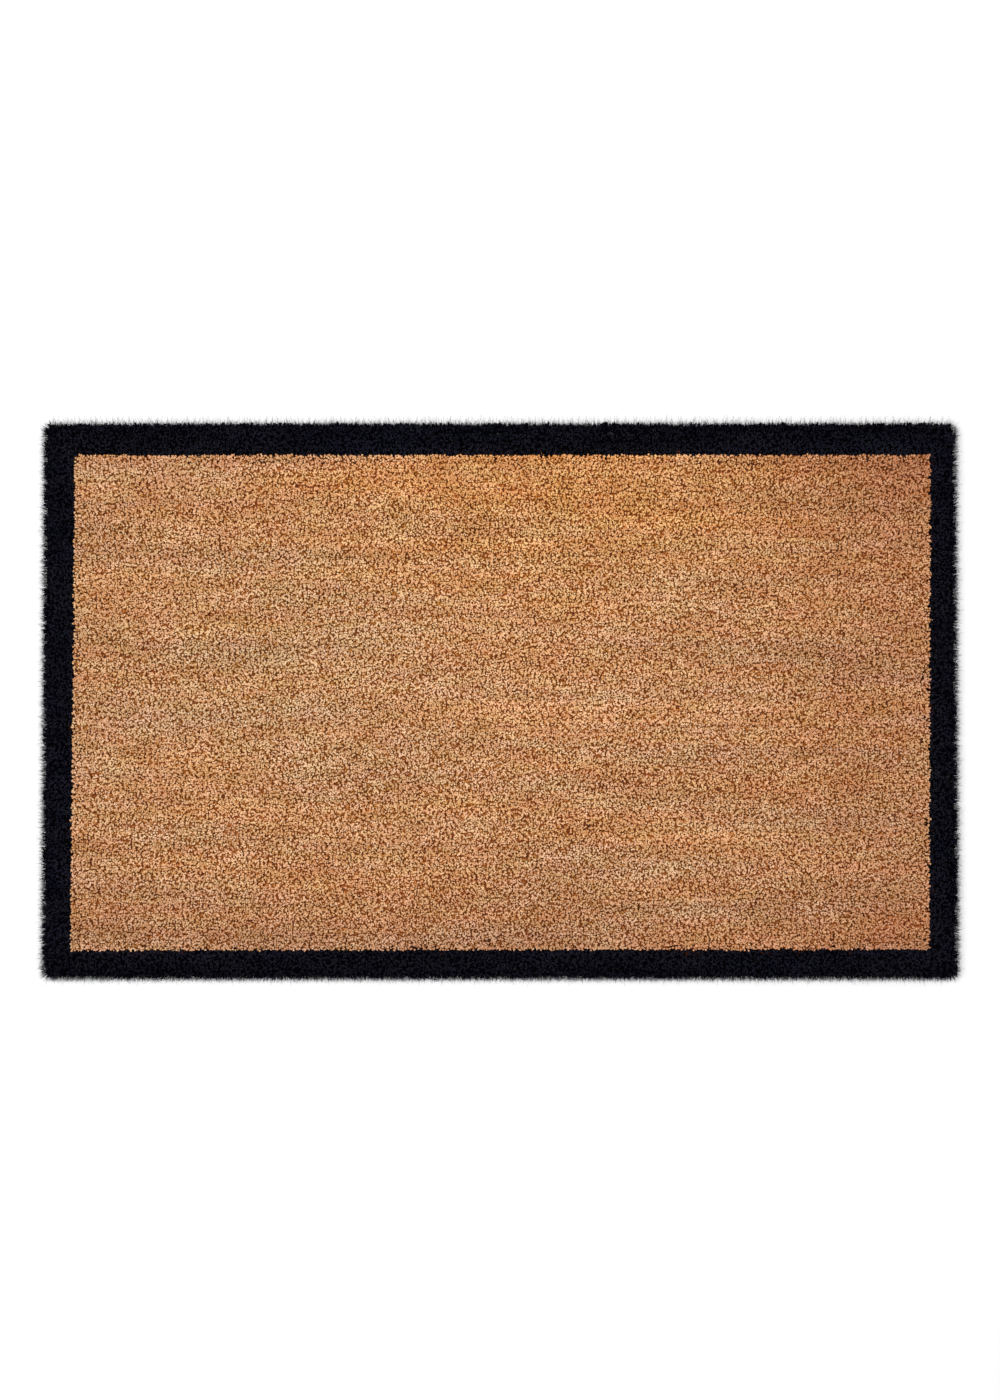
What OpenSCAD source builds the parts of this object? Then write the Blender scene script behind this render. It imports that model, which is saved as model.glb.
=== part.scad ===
// Door mat of tufted coir: a natural field inside a black border, bedded in a vinyl backing.
// The origin is the centre of the underside. +X runs along the long side, +Y to the back
// edge and +Z up. Sizes are in millimetres.
//
// The tufts stand in rows along X. A band is a few neighbouring rows that are planted
// together. Every band, and every side of the border, is bedded in a groove of its own.

/* [Mat] */
// Length along the long side
mat_length = 750; // [600:10:1200]
// Depth from the front edge to the back edge
mat_depth = 455; // [350:5:800]
// Height from the floor to the tips of the pile
mat_height = 15; // [12:0.5:22]
// Radius of the four corners in plan
corner_radius = 4; // [3:1:12]

/* [Backing sheet] */
// Thickness of the vinyl sheet
backing_thickness = 3; // [2:0.5:5]
// Depth to which the tufts are bedded in the vinyl
bed_depth = 1.2; // [0.6:0.2:1.4]
// Vinyl that stands between one groove and the next
land_width = 0.4; // [0.2:0.1:1]
// Vinyl that shows outside the roots of the pile at the cut edge
cut_margin = 1.2; // [0.4:0.1:2]

/* [Pile] */
// Width of the black border on each side
border_width = 23; // [15:1:60]
// Bands of natural coir from the back border to the front border
band_count = 22; // [10:1:40]
// How far the top of a band rounds down at its two long edges
crown = 0.6; // [0.2:0.1:1.5]

/* [Hidden] */
field_length = mat_length - 2 * border_width;
field_depth = mat_depth - 2 * border_width;
band_pitch = field_depth / band_count;
bed_level = backing_thickness - bed_depth;
pile_length = mat_length - 2 * cut_margin;
pile_depth = mat_depth - 2 * cut_margin;
long_border_y = (pile_depth / 2 + field_depth / 2 + land_width / 2) / 2;
short_border_x = (pile_length / 2 + field_length / 2 + land_width / 2) / 2;
border_strip = border_width - cut_margin - land_width / 2;
crown_steps = 12; // straight steps across the rounded top of a band
coir_colour = [0.71, 0.51, 0.35];
black_colour = [0.06, 0.055, 0.07];
vinyl_colour = [0.13, 0.125, 0.13];

function two_digits(i) = i < 10 ? str("0", i) : str(i);
function band_name(i) = str("coir_rows_", two_digits(i));

// Band 1 lies against the back border, and the last one against the front border.
function band_centre(i) = field_depth / 2 - (i - 0.5) * band_pitch;

// Height of the pile at a share of the way across a band, from 0 to 1.
function crowned(share) = mat_height - crown * pow(2 * share - 1, 2);

// Outline in plan, with rounded corners.
module rounded_outline(length, depth, radius) {
    square([length, depth - 2 * radius], center = true);
    square([length - 2 * radius, depth], center = true);
    for (x = [-1, 1], y = [-1, 1])
        translate([x * (length / 2 - radius), y * (depth / 2 - radius)])
            circle(r = radius, $fn = 32);
}

// A strip of pile along X, centred on the origin in plan: flat where it is bedded and
// gently crowned across its width.
module pile_strip(length, width) {
    section = concat(
        [[-width / 2, bed_level]],
        [for (k = [0 : crown_steps]) [(k / crown_steps - 0.5) * width, crowned(k / crown_steps)]],
        [[width / 2, bed_level]]
    );
    translate([-length / 2, 0, 0])
        rotate([90, 0, 90])
            linear_extrude(height = length)
                polygon(section);
}

// A plain block that cuts the groove for one strip.
module groove(length, width) {
    translate([-length / 2, -width / 2, bed_level])
        cube([length, width, backing_thickness]);
}

// Keeps what lies inside the outline of the pile, which rounds the border's corners.
module inside_pile_outline() {
    intersection() {
        children();
        linear_extrude(height = mat_height + 1)
            rounded_outline(pile_length, pile_depth, corner_radius - cut_margin);
    }
}

// The vinyl sheet, with a groove for every strip of pile.
module backing_sheet() {
    color(vinyl_colour)
        difference() {
            linear_extrude(height = backing_thickness)
                rounded_outline(mat_length, mat_depth, corner_radius);
            for (i = [1 : band_count])
                translate([0, band_centre(i), 0])
                    groove(field_length - land_width, band_pitch - land_width);
            for (side = [-1, 1])
                translate([side * short_border_x, 0, 0])
                    groove(border_strip, field_depth - land_width);
            inside_pile_outline()
                for (side = [-1, 1])
                    translate([0, side * long_border_y, 0])
                        groove(pile_length, border_strip);
        }
}

// The back or front side of the border, which runs the whole length of the mat.
module long_border(side) {
    color(black_colour)
        inside_pile_outline()
            translate([0, side * long_border_y, 0])
                pile_strip(pile_length, border_strip);
}

// The left or right side of the border, between the long ones.
module short_border(side) {
    color(black_colour)
        translate([side * short_border_x, 0, 0])
            rotate([0, 0, 90])
                pile_strip(field_depth - land_width, border_strip);
}

module border_back() {
    long_border(1);
}

module border_front() {
    long_border(-1);
}

module border_left() {
    short_border(-1);
}

module border_right() {
    short_border(1);
}

// One band of the natural field.
module coir_rows(i) {
    color(coir_colour)
        translate([0, band_centre(i), 0])
            pile_strip(field_length - land_width, band_pitch - land_width);
}

backing_sheet();
border_back();
border_front();
border_left();
border_right();
for (i = [1 : band_count])
    coir_rows(i);
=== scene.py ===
"""Coir door mat: a natural field and a black border of cut coir tufts on a vinyl backing.

The frame gives the mat's outline, its heights and its bands of rows. The tufts are planted in
rows along X over the whole mat, each as a packed heart with fibre bundles and a few loose
fibres round it. Every fibre then goes to the piece that stands for its CAD node: a side of the
border, or a band of rows. Lengths are in metres.
"""

import math

import bpy
import numpy as np
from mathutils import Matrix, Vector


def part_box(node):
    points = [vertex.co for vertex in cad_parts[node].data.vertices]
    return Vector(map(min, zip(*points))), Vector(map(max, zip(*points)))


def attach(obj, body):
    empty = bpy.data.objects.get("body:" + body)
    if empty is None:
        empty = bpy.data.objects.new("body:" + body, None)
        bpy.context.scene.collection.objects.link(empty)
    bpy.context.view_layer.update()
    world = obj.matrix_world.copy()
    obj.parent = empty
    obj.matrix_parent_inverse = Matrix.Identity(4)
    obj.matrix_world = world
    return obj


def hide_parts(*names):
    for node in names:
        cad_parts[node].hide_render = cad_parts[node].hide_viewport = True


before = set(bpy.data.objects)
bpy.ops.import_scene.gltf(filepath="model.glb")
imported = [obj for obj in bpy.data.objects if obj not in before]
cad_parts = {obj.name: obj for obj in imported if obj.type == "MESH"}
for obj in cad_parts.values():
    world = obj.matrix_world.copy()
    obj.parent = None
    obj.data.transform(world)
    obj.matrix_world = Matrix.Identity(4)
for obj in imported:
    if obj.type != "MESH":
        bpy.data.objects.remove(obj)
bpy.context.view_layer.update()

MM = 0.001
SEED = 20117
GOLDEN = 0.618034  # steps of this share of a range fill it evenly

# ---- What the frame says ------------------------------------------------------------------

BACKING = "backing_sheet"
BORDERS = ("border_back", "border_front", "border_left", "border_right")
BANDS = sorted(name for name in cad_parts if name.startswith("coir_rows_"))

_, backing_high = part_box(BACKING)
band_low, band_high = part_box(BANDS[0])
last_band_low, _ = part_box(BANDS[-1])
HALF_X = backing_high.x
HALF_Y = backing_high.y
VINYL_TOP = backing_high.z
BED = band_low.z
PILE_TOP = band_high.z
LAND = 0.4 * MM  # vinyl between two bands
FIELD_BACK = band_high.y + LAND / 2
FIELD_FRONT = last_band_low.y - LAND / 2
BAND_PITCH = (FIELD_BACK - FIELD_FRONT) / len(BANDS)
CORNER_RADIUS = 4 * MM  # of the mat's outline in plan

# ---- The pile -----------------------------------------------------------------------------

TUFT_PITCH = 6.1 * MM
TUFT_JITTER = np.array([0.45, 0.5]) * MM  # along a row, and across it
EDGE_MARGIN = 1.5 * MM  # bare vinyl between the outermost tufts' places and the cut edge
ROW_DRIFT = 3 * MM  # how far a row wanders from its straight line
DRIFT_FADE = 25 * MM  # the rows straighten over this distance from the cut edge

BUNDLES = 4  # fibre bundles across one tuft, each way
PLANTED = 0.6  # share of a tuft's place that its bundles fill at the root
SPREAD = 1.12  # and at the top
BUNDLE_TAPER = np.array([0.75, 1.0, 0.92])  # of a bundle, at its root, bend and tip
CLUMP = 2.2 * MM  # half the distance from one clump of tips to the next
CLUMP_TURN = 35  # degrees from the clumps' lattice to the rows
PIT_LEVEL = -0.5  # where the noise of the clumps is lower, bundles are cut short
PIT_DEPTH = (1.0, 3.4)  # by so many millimetres
CUT_LIMIT = 0.8  # millimetres that a tip may stand out past the vinyl's edge
RAGGED_LIMIT = (0.4, 1.6)  # and more on a ragged side: everywhere, and with the clumps

LOOSE_FIBRES = 6  # in one tuft
FRINGE_PER_MM = 8  # loose fibres along the mat's cut edge
FRINGE_REACH = 8 * MM  # the furthest that one of them leans out
FIBRE_TAPER = np.array([1.0, 0.7])  # of a loose fibre, at its foot and tip

# How ragged each cut side is, from 0 to 1: right, left, back, front.
RAGGED = (0.05, 0.12, 1.0, 0.05)

# The dyed border's width at the two ends of each side, which is a little askew: left and right
# go from front to back, the others from left to right.
DYE_WIDTH = {
    "border_left": (22.0 * MM, 24.3 * MM),
    "border_right": (22.5 * MM, 19.3 * MM),
    "border_front": (21.6 * MM, 22.5 * MM),
    "border_back": (25.3 * MM, 25.1 * MM),
}
DYE_SOFTNESS = 1.5 * MM  # no pits so close to the dye's inner edge
DYE_SEEP = 4 * MM  # how far the dye has seeped into the natural field at the hearts
SEEPED_SHADE = -4  # of a heart that it reached


class Noise:
    """Smooth noise round 0, with one random value per corner of a lattice.

    The lattice can be turned by some degrees. An even noise has no high or low regions: each
    value is set against those round it.
    """

    def __init__(self, seed, cell_x, cell_y=None, turn=0, even=False):
        self.cell = np.array([cell_x, cell_y or cell_x])
        cos, sin = math.cos(math.radians(turn)), math.sin(math.radians(turn))
        self.axes = np.array([[cos, -sin], [sin, cos]])
        self.low = -math.hypot(HALF_X, HALF_Y) - 3 * self.cell
        size = np.ceil(-2 * self.low / self.cell).astype(int) + 2
        self.values = np.random.default_rng(seed).uniform(-1, 1, size)
        if even:
            around = [(i, j) for i in (-1, 0, 1) for j in (-1, 0, 1)]
            moved = [np.roll(self.values, step, (0, 1)) for step in around]
            self.values = self.values - np.mean(moved, axis=0)

    def at(self, points):
        """The noise at points[n, 2]."""
        place = (points @ self.axes - self.low) / self.cell
        corner = np.clip(np.floor(place).astype(int), 0, np.array(self.values.shape) - 2)
        part = np.clip(place - corner, 0, 1)
        u, v = (part * part * (3 - 2 * part)).T
        i, j = corner.T
        low = self.values[i, j] * (1 - u) + self.values[i + 1, j] * u
        high = self.values[i, j + 1] * (1 - u) + self.values[i + 1, j + 1] * u
        return low * (1 - v) + high * v

    def slope(self, points):
        """The way uphill, about one long where the noise is steepest."""
        step = 0.05 * self.cell
        across = self.at(points + (step[0], 0)) - self.at(points - (step[0], 0))
        along = self.at(points + (0, step[1])) - self.at(points - (0, step[1]))
        return np.stack([across, along], axis=1) / 0.2


CLUMPS = Noise(SEED + 1, CLUMP, turn=CLUMP_TURN, even=True)
ROW_WANDER = Noise(SEED + 4, 70 * MM, 50 * MM)
SWAY = [Noise(SEED + 2, 9 * MM), Noise(SEED + 3, 9 * MM)]


def sway(points):
    """How far the tips over these roots lean together, across several tufts."""
    return np.stack([noise.at(points) for noise in SWAY], axis=1)


def edge_distance(points):
    """(how far each point lies inside the mat's rounded outline, the way out)."""
    past = np.abs(points) - (np.array([HALF_X, HALF_Y]) - CORNER_RADIUS)
    corner = np.maximum(past, 0)
    length = np.linalg.norm(corner, axis=1)
    inside = CORNER_RADIUS - (length + np.minimum(past.max(axis=1), 0))
    outward = np.zeros_like(points)
    outward[np.arange(len(points)), past.argmax(axis=1)] = 1
    at_corner = length > 0
    outward[at_corner] = corner[at_corner] / length[at_corner, None]
    return inside, outward * np.sign(points)


def raggedness(outward):
    """How ragged the cut edge is on the sides that these ways out point to."""
    x, y = outward.T
    right, left, back, front = RAGGED
    return x * x * np.where(x > 0, right, left) + y * y * np.where(y > 0, back, front)


def outline_at(share):
    """Points at shares of the way round the mat's rounded outline, and the way out there."""
    steps = 10
    straight = np.array([HALF_X, HALF_Y]) - CORNER_RADIUS
    turn = np.concatenate([np.linspace(k, k + 1, steps) for k in range(4)] + [[4]]) * math.pi / 2
    way = np.stack([np.cos(turn), np.sin(turn)], axis=1)
    signs = np.repeat([(1, 1), (-1, 1), (-1, -1), (1, -1), (1, 1)], (*[steps] * 4, 1), axis=0)
    points = signs * straight + CORNER_RADIUS * way
    length = np.append(0, np.cumsum(np.linalg.norm(np.diff(points, axis=0), axis=1)))
    angle = np.interp(share * length[-1], length, turn)
    place = np.stack([np.interp(share * length[-1], length, c) for c in points.T], axis=1)
    return place, np.stack([np.cos(angle), np.sin(angle)], axis=1)


def trimmed(tip):
    """The tips brought back to where the mat was cut, more loosely on a ragged side."""
    inside, outward = edge_distance(tip)
    everywhere, by_clump = RAGGED_LIMIT
    further = raggedness(outward) * (everywhere + by_clump * CLUMPS.at(tip))
    limit = (CUT_LIMIT + further) * MM
    return tip - outward * np.maximum(-inside - limit, 0)[:, None]


def edge_flare(points):
    """The way out at the cut edge, fading to nothing four tufts further in."""
    inside, outward = edge_distance(points)
    fade = np.clip(1 - inside / (4 * TUFT_PITCH), 0, 1) ** 2
    return outward * fade[:, None]


def tuft_centres(rng):
    """The centre of every tuft, and the number of its row."""
    rows = round((2 * HALF_Y - 2 * EDGE_MARGIN) / TUFT_PITCH)
    columns = round((2 * HALF_X - 2 * EDGE_MARGIN) / TUFT_PITCH)
    row_pitch = (2 * HALF_Y - 2 * EDGE_MARGIN) / rows
    column_pitch = (2 * HALF_X - 2 * EDGE_MARGIN) / columns
    row, column = np.meshgrid(np.arange(rows), np.arange(columns), indexing="ij")
    row, column = row.ravel(), column.ravel()
    phase = rng.uniform(-0.5, 0.5, rows)[row]
    x = (column + 0.5 + phase) * column_pitch - HALF_X + EDGE_MARGIN
    y = (row + 0.5) * row_pitch - HALF_Y + EDGE_MARGIN
    centres = np.stack([x, y], axis=1) + rng.normal(0, TUFT_JITTER, (len(x), 2))
    inside, _ = edge_distance(centres)
    centres[:, 1] += ROW_DRIFT * ROW_WANDER.at(centres) * np.clip(inside / DRIFT_FADE, 0, 1)
    return centres, row


def upright(*stations):
    """Paths[n, rings, 3] from (xy[n, 2], z[n] or number) at each ring, lowest first."""
    rings = [np.column_stack([xy, np.broadcast_to(z, len(xy))]) for xy, z in stations]
    return np.stack(rings, axis=1)


def grow_bundles(centres, tuft_shade, rng):
    """Fibre bundles: planted close together, they spread to fill the tuft's whole place."""
    count = BUNDLES * BUNDLES
    n = len(centres) * count
    grid = (np.arange(BUNDLES) + 0.5) / BUNDLES - 0.5
    u, v = np.meshgrid(grid, grid)
    spot = np.stack([u.ravel(), v.ravel()], axis=1)[None] * TUFT_PITCH
    spot = (spot + rng.normal(0, 0.3 * MM, (len(centres), count, 2))).reshape(-1, 2)
    centre = np.repeat(centres, count, axis=0)
    root = centre + PLANTED * spot
    top = centre + SPREAD * spot

    # The tips gather into clumps, and lean outwards near the cut edge.
    tip = top + 0.6 * MM * CLUMPS.slope(top) + 0.5 * MM * sway(top)
    tip += rng.normal(0, 0.4 * MM, (n, 2))
    flare = edge_flare(root)
    tip = trimmed(tip + flare * rng.uniform(1.4, 4.0, (n, 1)) * MM)

    # They end lower in pits, round a tuft's rim, between clumps and at the cut edge.
    short = rng.gamma(1.5, 0.32, n) * MM
    beside_dye = np.not_equal(dyed_side(top, DYE_SOFTNESS), dyed_side(top, -DYE_SOFTNESS))
    pit = (CLUMPS.at(top) < PIT_LEVEL) & ~beside_dye
    short += np.where(pit, rng.uniform(*PIT_DEPTH, n), 0) * MM
    dome = (np.linalg.norm(spot, axis=1) / (3 * MM)) ** 2 * 0.3 * MM
    tip_z = PILE_TOP - short - dome - 0.08 * MM * (1 - CLUMPS.at(top)) ** 3
    tip_z -= 1.2 * MM * np.linalg.norm(flare, axis=1) * rng.uniform(0, 1, n)

    bend = root + (tip - root) * rng.uniform(0.3, 0.5, (n, 1))
    thick = rng.uniform(0.9, 1.2, n)[:, None] * MM
    return {
        "root": root,
        "path": upright((root, BED), (bend, BED + 0.6 * (tip_z - BED)), (tip, tip_z)),
        "radii": thick * BUNDLE_TAPER,
        "sides": 3,
        "shade": np.repeat(tuft_shade, count) + rng.normal(0, 0.5, n),
    }


def grow_loose_fibres(centres, tuft_shade, rng):
    """Thin fibres that have sprung out of the bundles. Some of them lean well over."""
    n = len(centres) * LOOSE_FIBRES
    root = np.repeat(centres, LOOSE_FIBRES, axis=0) + rng.normal(0, 1.9 * MM, (n, 2))
    heading = rng.uniform(0, 2 * math.pi, n)
    reach = rng.gamma(2, 1.1, n) * MM
    tip = root + np.stack([np.cos(heading), np.sin(heading)], axis=1) * reach[:, None]
    tip = trimmed(tip + edge_flare(root) * rng.uniform(0.5, 4, (n, 1)) * MM)
    tip_z = PILE_TOP + rng.normal(-0.7, 0.5, n) * MM - 0.2 * reach
    low_z = tip_z - rng.uniform(3.5, 6, n) * MM
    return {
        "root": root,
        "path": upright((root, low_z), (tip, tip_z)),
        "radii": rng.uniform(0.2, 0.36, n)[:, None] * MM * FIBRE_TAPER,
        "sides": 3,
        "shade": np.repeat(tuft_shade, LOOSE_FIBRES) + rng.normal(0.5, 0.5, n),
    }


def grow_hearts(centres, tuft_shade, rng):
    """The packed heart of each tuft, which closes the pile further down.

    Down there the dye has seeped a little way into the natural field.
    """
    n = len(centres)
    top_z = PILE_TOP - rng.uniform(6.0, 7.2, n) * MM
    wide = np.minimum(rng.uniform(4.8, 5.2, n) * MM, edge_distance(centres)[0])
    seeped = np.not_equal(dyed_side(centres, DYE_SEEP), None)
    return {
        "root": centres,
        "path": upright((centres, BED), (centres, top_z)),
        "radii": wide[:, None] * np.array([0.8, 1.0]),
        "sides": 6,
        "shade": tuft_shade + SEEPED_SHADE * seeped,
    }


def grow_fringe(rng):
    """Loose fibres that lean out over the cut edge all the way round.

    On an even side most of them reach about as far, and on a ragged one a few reach much
    further than the rest.
    """
    perimeter = 4 * (HALF_X + HALF_Y) - (8 - 2 * math.pi) * CORNER_RADIUS
    n = int(perimeter / MM * FRINGE_PER_MM)
    step = np.arange(n)
    edge, way = outline_at((step + 0.5) / n)
    root = edge - way * rng.uniform(1.8, 4.5, (n, 1)) * MM
    share = (0.5 + GOLDEN * step) % 1
    # How many millimetres a fibre reaches beyond the edge, by its share.
    even = 2.45 - 0.78 * np.log(share / (1 - share))
    ragged = -0.4 - 2.0 * np.log(share)
    beyond = (even + raggedness(way) * (ragged - even))[:, None] * MM
    beyond = beyond.clip(-1 * MM, FRINGE_REACH)
    sideways = way[:, ::-1] * (-1, 1) * rng.normal(0, 2.2, (n, 1)) * MM
    tip = edge + way * beyond + sideways
    tip_z = PILE_TOP - rng.uniform(0.5, 7, n) * MM
    low_z = BED + rng.uniform(0.5, 3, n) * MM
    return {
        "root": root,
        "path": upright((root, low_z), (tip, tip_z)),
        "radii": rng.uniform(0.16, 0.22, (n, 1)) * MM / (1 + beyond / FRINGE_REACH) * FIBRE_TAPER,
        "sides": 3,
        "shade": rng.normal(0.5, 0.9, n),
    }


def dyed_side(points, beyond=0):
    """The border piece that each point belongs to, or None in the natural field.

    With beyond, the border reaches that much further in.
    """
    x, y = points.T
    along_x = (x + HALF_X) / (2 * HALF_X)
    along_y = (y + HALF_Y) / (2 * HALF_Y)
    from_edge = {
        "border_left": (HALF_X + x, along_y),
        "border_right": (HALF_X - x, along_y),
        "border_back": (HALF_Y - y, along_x),
        "border_front": (HALF_Y + y, along_x),
    }
    side = np.full(len(points), None, object)
    for name, (distance, along) in from_edge.items():
        side[distance < np.interp(along, (0, 1), DYE_WIDTH[name]) + beyond] = name
    return side


def piece_names(root, tip):
    """The CAD node of each fibre.

    A fibre belongs to the border where its upper part stands in the dye's reach, and to the
    band that its root is in everywhere else.
    """
    band = np.floor((FIELD_BACK - root[:, 1]) / BAND_PITCH).astype(int)
    band = np.array(BANDS, object)[np.clip(band, 0, len(BANDS) - 1)]
    upper_part = 0.3 * root + 0.7 * tip
    side = dyed_side(upper_part)
    return np.where(np.equal(side, None), band, side)


def tube_points(paths, radii, sides, rng):
    """The corners of tubes that follow paths[n, rings, 3], ring by ring."""
    along = np.gradient(paths, axis=1)
    along /= np.linalg.norm(along, axis=2, keepdims=True)
    turn = rng.uniform(0, 2 * math.pi, len(paths))
    facing = np.stack([np.cos(turn), np.sin(turn), np.zeros_like(turn)], axis=1)[:, None]
    across = facing - (facing * along).sum(axis=2, keepdims=True) * along
    across /= np.linalg.norm(across, axis=2, keepdims=True)
    third = np.cross(along, across)
    angle = (2 * math.pi * np.arange(sides) / sides)[:, None]
    ring = across[:, :, None] * np.cos(angle) + third[:, :, None] * np.sin(angle)
    return (paths[:, :, None] + radii[:, :, None, None] * ring).reshape(-1, 3)


# A fibre's cell of the map, in shares of the cell: a clear rim, then each end of the tube, with
# its walls between them.
CELL_RIM = (0.06, 0.03)
END_ROOM = 0.07
WALL_START = 0.08


def in_cells(u, v, cells):
    """The place of (u, v) inside each cell (left, low, width, height), as one long list."""
    left, low, width, height = (c.reshape((-1,) + (1,) * u.ndim) for c in cells.T)
    rim_u, rim_v = CELL_RIM
    across = left + width * (rim_u + (1 - 2 * rim_u) * u)
    along = low + height * (rim_v + (1 - 2 * rim_v) * v)
    return np.stack([across, along], -1).reshape(-1, 2)


def tube_faces(n, rings, sides, cells):
    """[(corners, their places in the map, smooth?)] for the walls and both ends of n tubes."""
    first = np.arange(n)[:, None, None, None] * rings * sides
    ring = np.arange(rings - 1)[:, None, None]
    side = np.arange(sides)[None, :, None]
    up = np.array([0, 0, 1, 1])
    over = np.array([0, 1, 1, 0])
    walls = first + ((ring + up) * sides + (side + over) % sides)[None]
    wall_u = (side + over + 0 * ring) / sides
    wall_v = WALL_START + (1 - 2 * WALL_START) * (ring + up + 0 * side) / (rings - 1)
    turn = np.arange(sides)
    bottom = np.arange(n)[:, None] * rings * sides + turn[::-1]
    top = np.arange(n)[:, None] * rings * sides + (rings - 1) * sides + turn
    end_u = 0.5 + 0.5 * np.cos(2 * math.pi * turn / sides)
    end_v = END_ROOM * (0.5 + 0.5 * np.sin(2 * math.pi * turn / sides))
    return [
        (walls.reshape(-1, 4), in_cells(wall_u, wall_v, cells), True),
        (bottom, in_cells(end_u, end_v, cells), False),
        (top, in_cells(end_u, end_v + 1 - END_ROOM, cells), False),
    ]


def map_cells(count):
    """count equal cells that fill the unit square, each 3 wide for 5 high."""
    columns = math.ceil(math.sqrt(count * 5 / 3))
    rows = math.ceil(count / columns)
    i = np.arange(count)
    size = np.broadcast_to([1 / columns, 1 / rows], (count, 2))
    return np.column_stack([(i % columns) / columns, (i // columns) / rows, size])


def build_mesh(name, points, faces, values):
    """A mesh from its points, [(corners, places in the map, smooth?)] and point values."""
    mesh = bpy.data.meshes.new(name)
    mesh.vertices.add(len(points))
    mesh.vertices.foreach_set("co", points.astype(np.float32).ravel())
    corners = np.concatenate([f.ravel() for f, _, _ in faces])
    totals = np.concatenate([np.full(len(f), f.shape[1]) for f, _, _ in faces])
    smooth = np.concatenate([np.full(len(f), soft) for f, _, soft in faces])
    mesh.loops.add(len(corners))
    mesh.loops.foreach_set("vertex_index", corners.astype(np.int32))
    mesh.polygons.add(len(totals))
    mesh.polygons.foreach_set("loop_start", (np.cumsum(totals) - totals).astype(np.int32))
    mesh.polygons.foreach_set("loop_total", totals.astype(np.int32))
    mesh.polygons.foreach_set("use_smooth", smooth)
    places = np.concatenate([uv for _, uv, _ in faces])
    mesh.uv_layers.new(name="OFBake").uv.foreach_set("vector", places.astype(np.float32).ravel())
    for key, value in values.items():
        attribute = mesh.attributes.new(key, "FLOAT", "POINT")
        attribute.data.foreach_set("value", value.astype(np.float32))
    mesh.update(calc_edges=True)
    return mesh


def grow_pile(rng):
    """Every fibre of the mat, as groups of like tubes."""
    centres, row = tuft_centres(rng)
    tuft_shade = rng.normal(0, 0.4, len(centres)) + rng.normal(0, 0.12, row.max() + 1)[row]
    return [
        grow_bundles(centres, tuft_shade, rng),
        grow_loose_fibres(centres, tuft_shade, rng),
        grow_hearts(centres, tuft_shade, rng),
        grow_fringe(rng),
    ]


def node_names(group, rng):
    """The CAD node of each fibre, or "" for one that is rooted too near the vinyl's edge."""
    tip = group["path"][:, -1, :2] + rng.normal(0, 0.4 * MM, group["root"].shape)
    names = piece_names(group["root"], tip)
    inside, _ = edge_distance(group["root"])
    names[inside < np.minimum(group["radii"][:, 0] + 1 * MM, 3 * MM)] = ""
    return names


def tuft_mesh(name, groups, chosen, rng):
    """One mesh of the chosen fibres of each group, every fibre with its own cell of the map."""
    cells = map_cells(sum(len(pick) for pick in chosen))
    points, faces, shade = [], [], []
    used, offset = 0, 0
    for group, pick in zip(groups, chosen):
        path, sides = group["path"][pick], group["sides"]
        rings = path.shape[1]
        points.append(tube_points(path, group["radii"][pick], sides, rng))
        for face, uv, soft in tube_faces(len(pick), rings, sides, cells[used:used + len(pick)]):
            faces.append((face + offset, uv, soft))
        shade.append(np.repeat(group["shade"][pick], rings * sides))
        used += len(pick)
        offset += len(pick) * rings * sides
    return build_mesh(name, np.concatenate(points), faces, {"shade": np.concatenate(shade)})


def pile_pieces(natural, black):
    """One piece for each pile node of the frame."""
    rng = np.random.default_rng(SEED)
    groups = grow_pile(rng)
    names = [node_names(group, rng) for group in groups]
    made = []
    for node in (*BORDERS, *BANDS):
        chosen = [np.flatnonzero(name == node) for name in names]
        mesh = tuft_mesh(node + "_tufts", groups, chosen, rng)
        dyed = node in BORDERS
        mesh.materials.append(black if dyed else natural)
        piece = bpy.data.objects.new(node + "_tufts", mesh)
        bpy.context.scene.collection.objects.link(piece)
        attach(piece, "root")
        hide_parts(node)
        made.append(piece)
    return made


# ---- Materials ----------------------------------------------------------------------------

# Where the natural fibre differs a little in kind, where a pool of light is painted on it, and
# where shade is painted towards its corners and sides: centre and size on the mat as shares of
# its half width and half depth, and the tint there.
TINTS_AND_PAINTED_SHADING = (
    ((0.15, 0.85), (0.95, 0.75), (1.05, 1.0, 0.77)),  # golden
    ((-0.5, 0.15), (0.5, 0.6), (0.94, 1.02, 1.06)),  # greener
    ((-0.05, 0.2), (0.75, 0.65), (1.06, 1.07, 1.08)),  # painted light: a lighter pool round the middle
    ((-1.0, 1.0), (0.5, 0.5), (0.91, 0.88, 0.84)),  # from here on, painted shade with a russet tint: four darker corners
    ((-1.0, -1.0), (0.6, 0.6), (0.86, 0.80, 0.78)),
    ((1.0, 1.0), (0.65, 0.75), (0.80, 0.61, 0.52)),
    ((1.0, -1.0), (0.6, 0.6), (0.84, 0.71, 0.67)),
    ((-1.1, 0.0), (0.5, 2.0), (0.90, 0.90, 0.91)),  # and painted shade on four darker sides
    ((1.1, 0.0), (0.85, 2.2), (0.82, 0.75, 0.76)),
    ((0.0, 1.05), (1.4, 0.45), (0.97, 0.90, 0.93)),
    ((0.0, -1.05), (1.5, 0.6), (0.76, 0.69, 0.73)),
)


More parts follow.
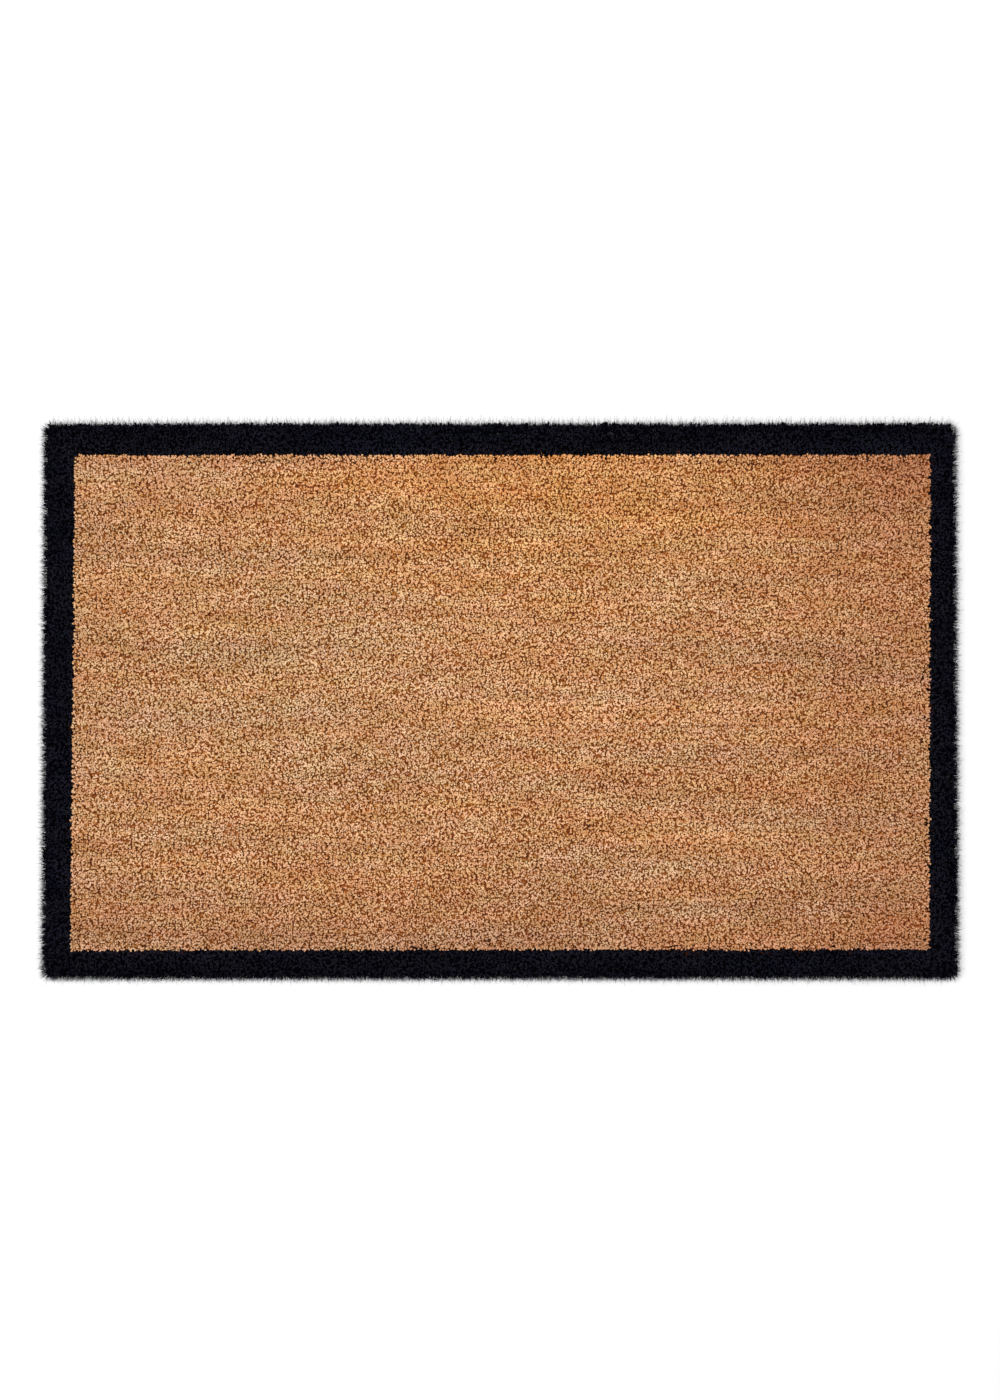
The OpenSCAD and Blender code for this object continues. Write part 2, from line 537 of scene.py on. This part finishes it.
class Nodes:
    """A short way to write a material's node tree."""

    def __init__(self, name):
        self.material = bpy.data.materials.new(name)
        self.material.use_nodes = True
        self.tree = self.material.node_tree
        self.tree.nodes.clear()
        self.output = self.add("ShaderNodeOutputMaterial")
        self.shader = self.add("ShaderNodeBsdfPrincipled")
        self.link(self.shader.outputs["BSDF"], self.output.inputs["Surface"])

    def add(self, kind, **settings):
        node = self.tree.nodes.new(kind)
        for key, value in settings.items():
            setattr(node, key, value)
        return node

    def link(self, source, target):
        self.tree.links.new(source, target)

    def set(self, **sockets):
        """Plain values on the shader's own sockets."""
        for key, value in sockets.items():
            self.shader.inputs[key.replace("_", " ")].default_value = value

    def place(self):
        return self.add("ShaderNodeTexCoord").outputs["Object"]

    def scaled(self, vector, scale):
        node = self.add("ShaderNodeMapping")
        self.link(vector, node.inputs["Vector"])
        node.inputs["Scale"].default_value = scale
        return node.outputs["Vector"]

    def noise(self, vector, detail):
        node = self.add("ShaderNodeTexNoise")
        self.link(vector, node.inputs["Vector"])
        node.inputs["Scale"].default_value = 1.0
        node.inputs["Detail"].default_value = detail
        return node.outputs["Fac"]

    def attribute(self, name):
        return self.add("ShaderNodeAttribute", attribute_name=name).outputs["Fac"]

    def math(self, operation, a, b, c=None):
        node = self.add("ShaderNodeMath", operation=operation)
        for socket, value in zip(node.inputs, (a, b, c)):
            if isinstance(value, (int, float)):
                socket.default_value = value
            elif value is not None:
                self.link(value, socket)
        return node.outputs["Value"]

    def remap(self, value, low, high, to_low, to_high):
        node = self.add("ShaderNodeMapRange", clamp=True)
        self.link(value, node.inputs["Value"])
        for key, number in zip(
            ("From Min", "From Max", "To Min", "To Max"), (low, high, to_low, to_high)
        ):
            node.inputs[key].default_value = number
        return node.outputs["Result"]

    def ramp(self, value, stops):
        """Colours by value, from [(position, (r, g, b)), ...]."""
        node = self.add("ShaderNodeValToRGB")
        elements = node.color_ramp.elements
        while len(elements) < len(stops):
            elements.new(0.5)
        for element, (position, colour) in zip(elements, stops):
            element.position = position
            element.color = (*colour, 1)
        self.link(value, node.inputs["Fac"])
        return node.outputs["Color"]

    def tint(self, colour, by, low, high):
        """colour times a tint that goes from low to high as by goes from 0 to 1."""
        shade = self.add("ShaderNodeMix", data_type="RGBA")
        self.link(by, shade.inputs["Factor"])
        shade.inputs["A"].default_value = (*low, 1)
        shade.inputs["B"].default_value = (*high, 1)
        both = self.add("ShaderNodeMix", data_type="RGBA", blend_type="MULTIPLY")
        both.inputs["Factor"].default_value = 1.0
        self.link(colour, both.inputs["A"])
        self.link(shade.outputs["Result"], both.inputs["B"])
        return both.outputs["Result"]

    def patch(self, place, centre, size):
        """1 at the centre of an ellipse on the mat, fading to 0 at its rim."""
        node = self.add("ShaderNodeMapping", vector_type="TEXTURE")
        self.link(place, node.inputs["Vector"])
        node.inputs["Location"].default_value = (centre[0] * HALF_X, centre[1] * HALF_Y, 0)
        node.inputs["Scale"].default_value = (size[0] * HALF_X, size[1] * HALF_Y, 1)
        flat = self.add("ShaderNodeVectorMath", operation="MULTIPLY")
        self.link(node.outputs["Vector"], flat.inputs[0])
        flat.inputs[1].default_value = (1, 1, 0)
        length = self.add("ShaderNodeVectorMath", operation="LENGTH")
        self.link(flat.outputs["Vector"], length.inputs[0])
        fade = self.add("ShaderNodeMapRange", interpolation_type="SMOOTHSTEP")
        self.link(length.outputs["Value"], fade.inputs["Value"])
        fade.inputs["To Min"].default_value = 1.0
        fade.inputs["To Max"].default_value = 0.0
        return fade.outputs["Result"]

    def bump(self, height, strength, distance):
        node = self.add("ShaderNodeBump")
        node.inputs["Strength"].default_value = strength
        node.inputs["Distance"].default_value = distance
        self.link(height, node.inputs["Height"])
        self.link(node.outputs["Normal"], self.shader.inputs["Normal"])


# Faint tints in long streaks: (how fine along x, y and z), and the tint at either end.
STREAK_TINTS = (
    ((5, 38, 1), (0.97, 1.015, 1.08), (1.03, 0.985, 0.91)),
    ((30, 90, 1), (0.98, 1.015, 0.96), (1.025, 0.985, 1.04)),
    ((1.5, 120, 1), (0.965, 0.96, 0.965), (1.035, 1.045, 1.02)),
)

PAINTED_SHADE_DEPTH = 8 * MM  # painted shade: the colour goes from its first stop to its last over this height, darker deeper in the pile
SHADE_TONE = 0.05  # what one step of a fibre's own shade adds to its tone
STREAK_TONE = 0.1  # what the streaks along a fibre add to it
MOTTLE_TONE = 0.25  # and the soft light and dark stretches of the rows


def coir_material(name, stops, roughness, specular, tints_and_painted_shading=()):
    """Fibre with painted shade, dark at the root and light at the tip, and a random shade of its
    own.
    """
    m = Nodes(name)
    place = m.place()
    split = m.add("ShaderNodeSeparateXYZ")
    m.link(place, split.inputs["Vector"])
    # painted shade: the colour darkens with depth below the pile's top
    height = m.remap(split.outputs["Z"], PILE_TOP - PAINTED_SHADE_DEPTH, PILE_TOP, 0.0, 1.0)
    streak = m.noise(m.scaled(place, (2600, 2600, 260)), detail=3)
    mottle = m.noise(m.scaled(place, (16, 60, 1)), detail=3)
    tone = m.math("MULTIPLY_ADD", m.attribute("shade"), SHADE_TONE, height)
    tone = m.math("MULTIPLY_ADD", m.math("SUBTRACT", streak, 0.5), STREAK_TONE, tone)
    tone = m.math("MULTIPLY_ADD", m.math("SUBTRACT", mottle, 0.5), MOTTLE_TONE, tone)
    colour = m.ramp(tone, stops)
    for scale, low, high in STREAK_TINTS:
        by = m.remap(m.noise(m.scaled(place, scale), detail=1), 0.36, 0.64, 0.0, 1.0)
        colour = m.tint(colour, by, low, high)
    # tints of the fibre, a painted pool of light, and painted shade towards the corners and sides
    for centre, size, tint in tints_and_painted_shading:
        colour = m.tint(colour, m.patch(place, centre, size), (1, 1, 1), tint)
    m.link(colour, m.shader.inputs["Base Color"])
    rough = m.remap(streak, 0.3, 0.7, roughness - 0.1, roughness + 0.1)
    m.link(rough, m.shader.inputs["Roughness"])
    m.bump(streak, 0.2, 0.15 * MM)
    m.set(Specular_IOR_Level=specular)
    return m.material


def vinyl_material():
    """Matt black moulded vinyl with a fine grain."""
    m = Nodes("black_vinyl")
    place = m.place()
    grain = m.noise(m.scaled(place, (900, 900, 900)), detail=4)
    cloud = m.noise(m.scaled(place, (40, 40, 40)), detail=2)
    colour = m.ramp(cloud, [(0.3, (0.012, 0.012, 0.0125)), (0.7, (0.018, 0.0175, 0.018))])
    m.link(colour, m.shader.inputs["Base Color"])
    m.link(m.remap(grain, 0.3, 0.7, 0.5, 0.7), m.shader.inputs["Roughness"])
    m.bump(grain, 0.3, 0.1 * MM)
    m.set(Specular_IOR_Level=0.25)
    return m.material


def floor_material():
    """A plain pale floor with hardly visible clouds."""
    m = Nodes("pale_floor")
    cloud = m.noise(m.scaled(m.place(), (3, 3, 3)), detail=2)
    colour = m.ramp(cloud, [(0.0, (0.44, 0.44, 0.443)), (1.0, (0.45, 0.45, 0.453))])
    m.link(colour, m.shader.inputs["Base Color"])
    m.set(Roughness=0.9, Specular_IOR_Level=0.1)
    return m.material


# The stops of both colours go from the roots of the fibres to their tips: painted shade, darker
# deeper in the pile.
NATURAL = coir_material(
    "natural_coir",
    [
        (0.00, (0.030, 0.007, 0.0005)),
        (0.08, (0.075, 0.013, 0.0004)),
        (0.22, (0.145, 0.034, 0.0024)),
        (0.55, (0.285, 0.107, 0.021)),
        (0.80, (0.312, 0.150, 0.064)),
        (0.90, (0.322, 0.167, 0.080)),
        (1.00, (0.434, 0.267, 0.152)),
    ],
    0.75,
    0.1,
    TINTS_AND_PAINTED_SHADING,
)
BLACK = coir_material(
    "black_coir",
    [
        (0.25, (0.0001, 0.0001, 0.0004)),
        (0.75, (0.0005, 0.0005, 0.0018)),
        (1.00, (0.0060, 0.0055, 0.0088)),
    ],
    0.9,
    0.02,
)


# ---- The vinyl backing --------------------------------------------------------------------

EMBOSS_CELL = 6 * MM
EMBOSS_DEPTH = 0.35 * MM
SOFTENED = 0.5 * MM  # how far the sheet's edges are rounded off
ARC_STEPS = 6  # straight steps round one corner of the sheet


def in_order(ring):
    """A ring's points in order, from (points along a side, points round its corner) parts."""
    return [point for straight, arc in ring for point in (*straight, *arc)]


class SheetShape:
    """The points and faces of the sheet: two grids, and rings of points round the outline.

    A grid covers the mat up to the corners' centres. Each ring has a point beside every point
    of the grid's rim, and an arc round each corner.
    """

    def __init__(self):
        self.columns = round(2 * (HALF_X - CORNER_RADIUS) / EMBOSS_CELL)
        self.rows = round(2 * (HALF_Y - CORNER_RADIUS) / EMBOSS_CELL)
        self.xs = np.linspace(-1, 1, self.columns + 1) * (HALF_X - CORNER_RADIUS)
        self.ys = np.linspace(-1, 1, self.rows + 1) * (HALF_Y - CORNER_RADIUS)
        self.points = []
        self.faces = []

    def add_point(self, x, y, z):
        self.points.append((x, y, z))
        return len(self.points) - 1

    def add_face(self, corners, flip=False):
        self.faces.append(corners[::-1] if flip else corners)

    def grid(self, height_at, flip):
        """A grid of points with faces; returns the four sides of its rim."""
        index = np.array([
            [self.add_point(x, y, height_at(i, j)) for i, x in enumerate(self.xs)]
            for j, y in enumerate(self.ys)
        ])
        for j in range(self.rows):
            for i in range(self.columns):
                quad = (index[j, i], index[j, i + 1], index[j + 1, i + 1], index[j + 1, i])
                self.add_face(quad, flip)
        return [index[0], index[:, -1], index[-1, ::-1], index[::-1, 0]]

    def embossed(self, i, j):
        """The height of the underside: every other point inside the grid is pressed in."""
        within = 0 < i < self.columns and 0 < j < self.rows
        return EMBOSS_DEPTH if within and (i + j) % 2 else 0.0

    def outline(self, inset, z):
        """A ring at height z, as (points along a side, points round its corner) four times."""
        xs, ys = self.xs, self.ys
        radius = CORNER_RADIUS - inset
        sides = (
            ([(x, ys[0]) for x in xs], -90),
            ([(xs[-1], y) for y in ys], 0),
            ([(x, ys[-1]) for x in xs[::-1]], 90),
            ([(xs[0], y) for y in ys[::-1]], 180),
        )

        def point_out(x, y, turn):
            angle = math.radians(turn)
            return self.add_point(x + radius * math.cos(angle), y + radius * math.sin(angle), z)

        ring = []
        for side, turn in sides:
            straight = [point_out(x, y, turn) for x, y in side]
            turns = [turn + 90 * step / ARC_STEPS for step in range(1, ARC_STEPS)]
            ring.append((straight, [point_out(*side[-1], at) for at in turns]))
        return ring

    def close(self, rim, ring, flip):
        """Joins a grid's rim to a ring: strips along the sides, fans at the corners."""
        for n, (straight, arc) in enumerate(ring):
            side = rim[n]
            for a, b, c, d in zip(straight, straight[1:], side[1:], side):
                self.add_face((a, b, c, d), flip)
            fan = [straight[-1], *arc, ring[(n + 1) % 4][0][0]]
            for a, b in zip(fan, fan[1:]):
                self.add_face((a, b, side[-1]), flip)

    def wall(self, low, high):
        """Joins one ring to the next."""
        low, high = in_order(low), in_order(high)
        for a, b, c, d in zip(low, low[1:] + low[:1], high[1:] + high[:1], high):
            self.add_face((a, b, c, d))


def sheet_shape():
    """The sheet: an embossed underside, softened edges and a flat top."""
    shape = SheetShape()
    under = shape.grid(shape.embossed, True)
    rings = [
        shape.outline(SOFTENED, 0.0),
        shape.outline(0.3 * SOFTENED, 0.3 * SOFTENED),
        shape.outline(0.0, SOFTENED),
        shape.outline(0.0, VINYL_TOP - 0.6 * SOFTENED),
        shape.outline(0.4 * SOFTENED, VINYL_TOP),
    ]
    shape.close(under, rings[0], True)
    for low, high in zip(rings, rings[1:]):
        shape.wall(low, high)
    top = shape.grid(lambda i, j: VINYL_TOP, False)
    shape.close(top, rings[-1], False)
    return shape


def backing_piece():
    """The vinyl sheet as one piece."""
    shape = sheet_shape()
    mesh = bpy.data.meshes.new("vinyl_sheet")
    mesh.from_pydata(shape.points, [], shape.faces)
    mesh.update()
    mesh.polygons.foreach_set("use_smooth", np.ones(len(mesh.polygons), bool))
    piece = bpy.data.objects.new("vinyl_sheet", mesh)
    bpy.context.scene.collection.objects.link(piece)
    mesh.materials.append(vinyl_material())
    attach(piece, "root")
    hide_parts(BACKING)
    return piece


pile = pile_pieces(NATURAL, BLACK)
sheet = backing_piece()


# ---- Floor, light and camera --------------------------------------------------------------


def make_floor():
    """A floor that reaches far past the view."""
    mesh = bpy.data.meshes.new("floor")
    reach = 30.0
    corners = [(-reach, -reach, 0), (reach, -reach, 0), (reach, reach, 0), (-reach, reach, 0)]
    mesh.from_pydata(corners, [], [(0, 1, 2, 3)])
    floor = bpy.data.objects.new("floor", mesh)
    bpy.context.scene.collection.objects.link(floor)
    mesh.materials.append(floor_material())


def softbox(name, place, size, power):
    """A rectangular light that looks straight down."""
    light = bpy.data.lights.new(name, "AREA")
    light.shape = "RECTANGLE"
    light.size, light.size_y = size
    light.energy = power
    lamp = bpy.data.objects.new(name, light)
    bpy.context.scene.collection.objects.link(lamp)
    lamp.location = place
    lamp.visible_camera = False


def make_lights():
    """One large softbox, a little to the left, in an even white surround."""
    softbox("overhead_softbox", (-0.30, 0.09, 3.15), (2.7, 1.05), 216)
    world = bpy.data.worlds.new("studio")
    world.use_nodes = True
    background = world.node_tree.nodes["Background"]
    background.inputs["Color"].default_value = (1, 1, 1, 1)
    background.inputs["Strength"].default_value = 0.55
    bpy.context.scene.world = world
    bpy.context.scene.view_settings.view_transform = "Standard"


def make_camera():
    """Almost straight above, 1.5 degrees towards the front, with the mat across the picture."""
    distance = 2.4
    elevation = math.radians(88.5)
    width_seen = 0.8230  # across the picture, at the top of the pile
    data = bpy.data.cameras.new("camera")
    data.sensor_fit = "HORIZONTAL"
    data.sensor_width = 36
    data.lens = data.sensor_width * distance / width_seen
    camera = bpy.data.objects.new("camera", data)
    bpy.context.scene.collection.objects.link(camera)
    camera.location = (
        0,
        -distance * math.cos(elevation),
        PILE_TOP + distance * math.sin(elevation),
    )
    camera.rotation_euler = (math.pi / 2 - elevation, 0, 0)
    bpy.context.scene.camera = camera


make_floor()
make_lights()
make_camera()
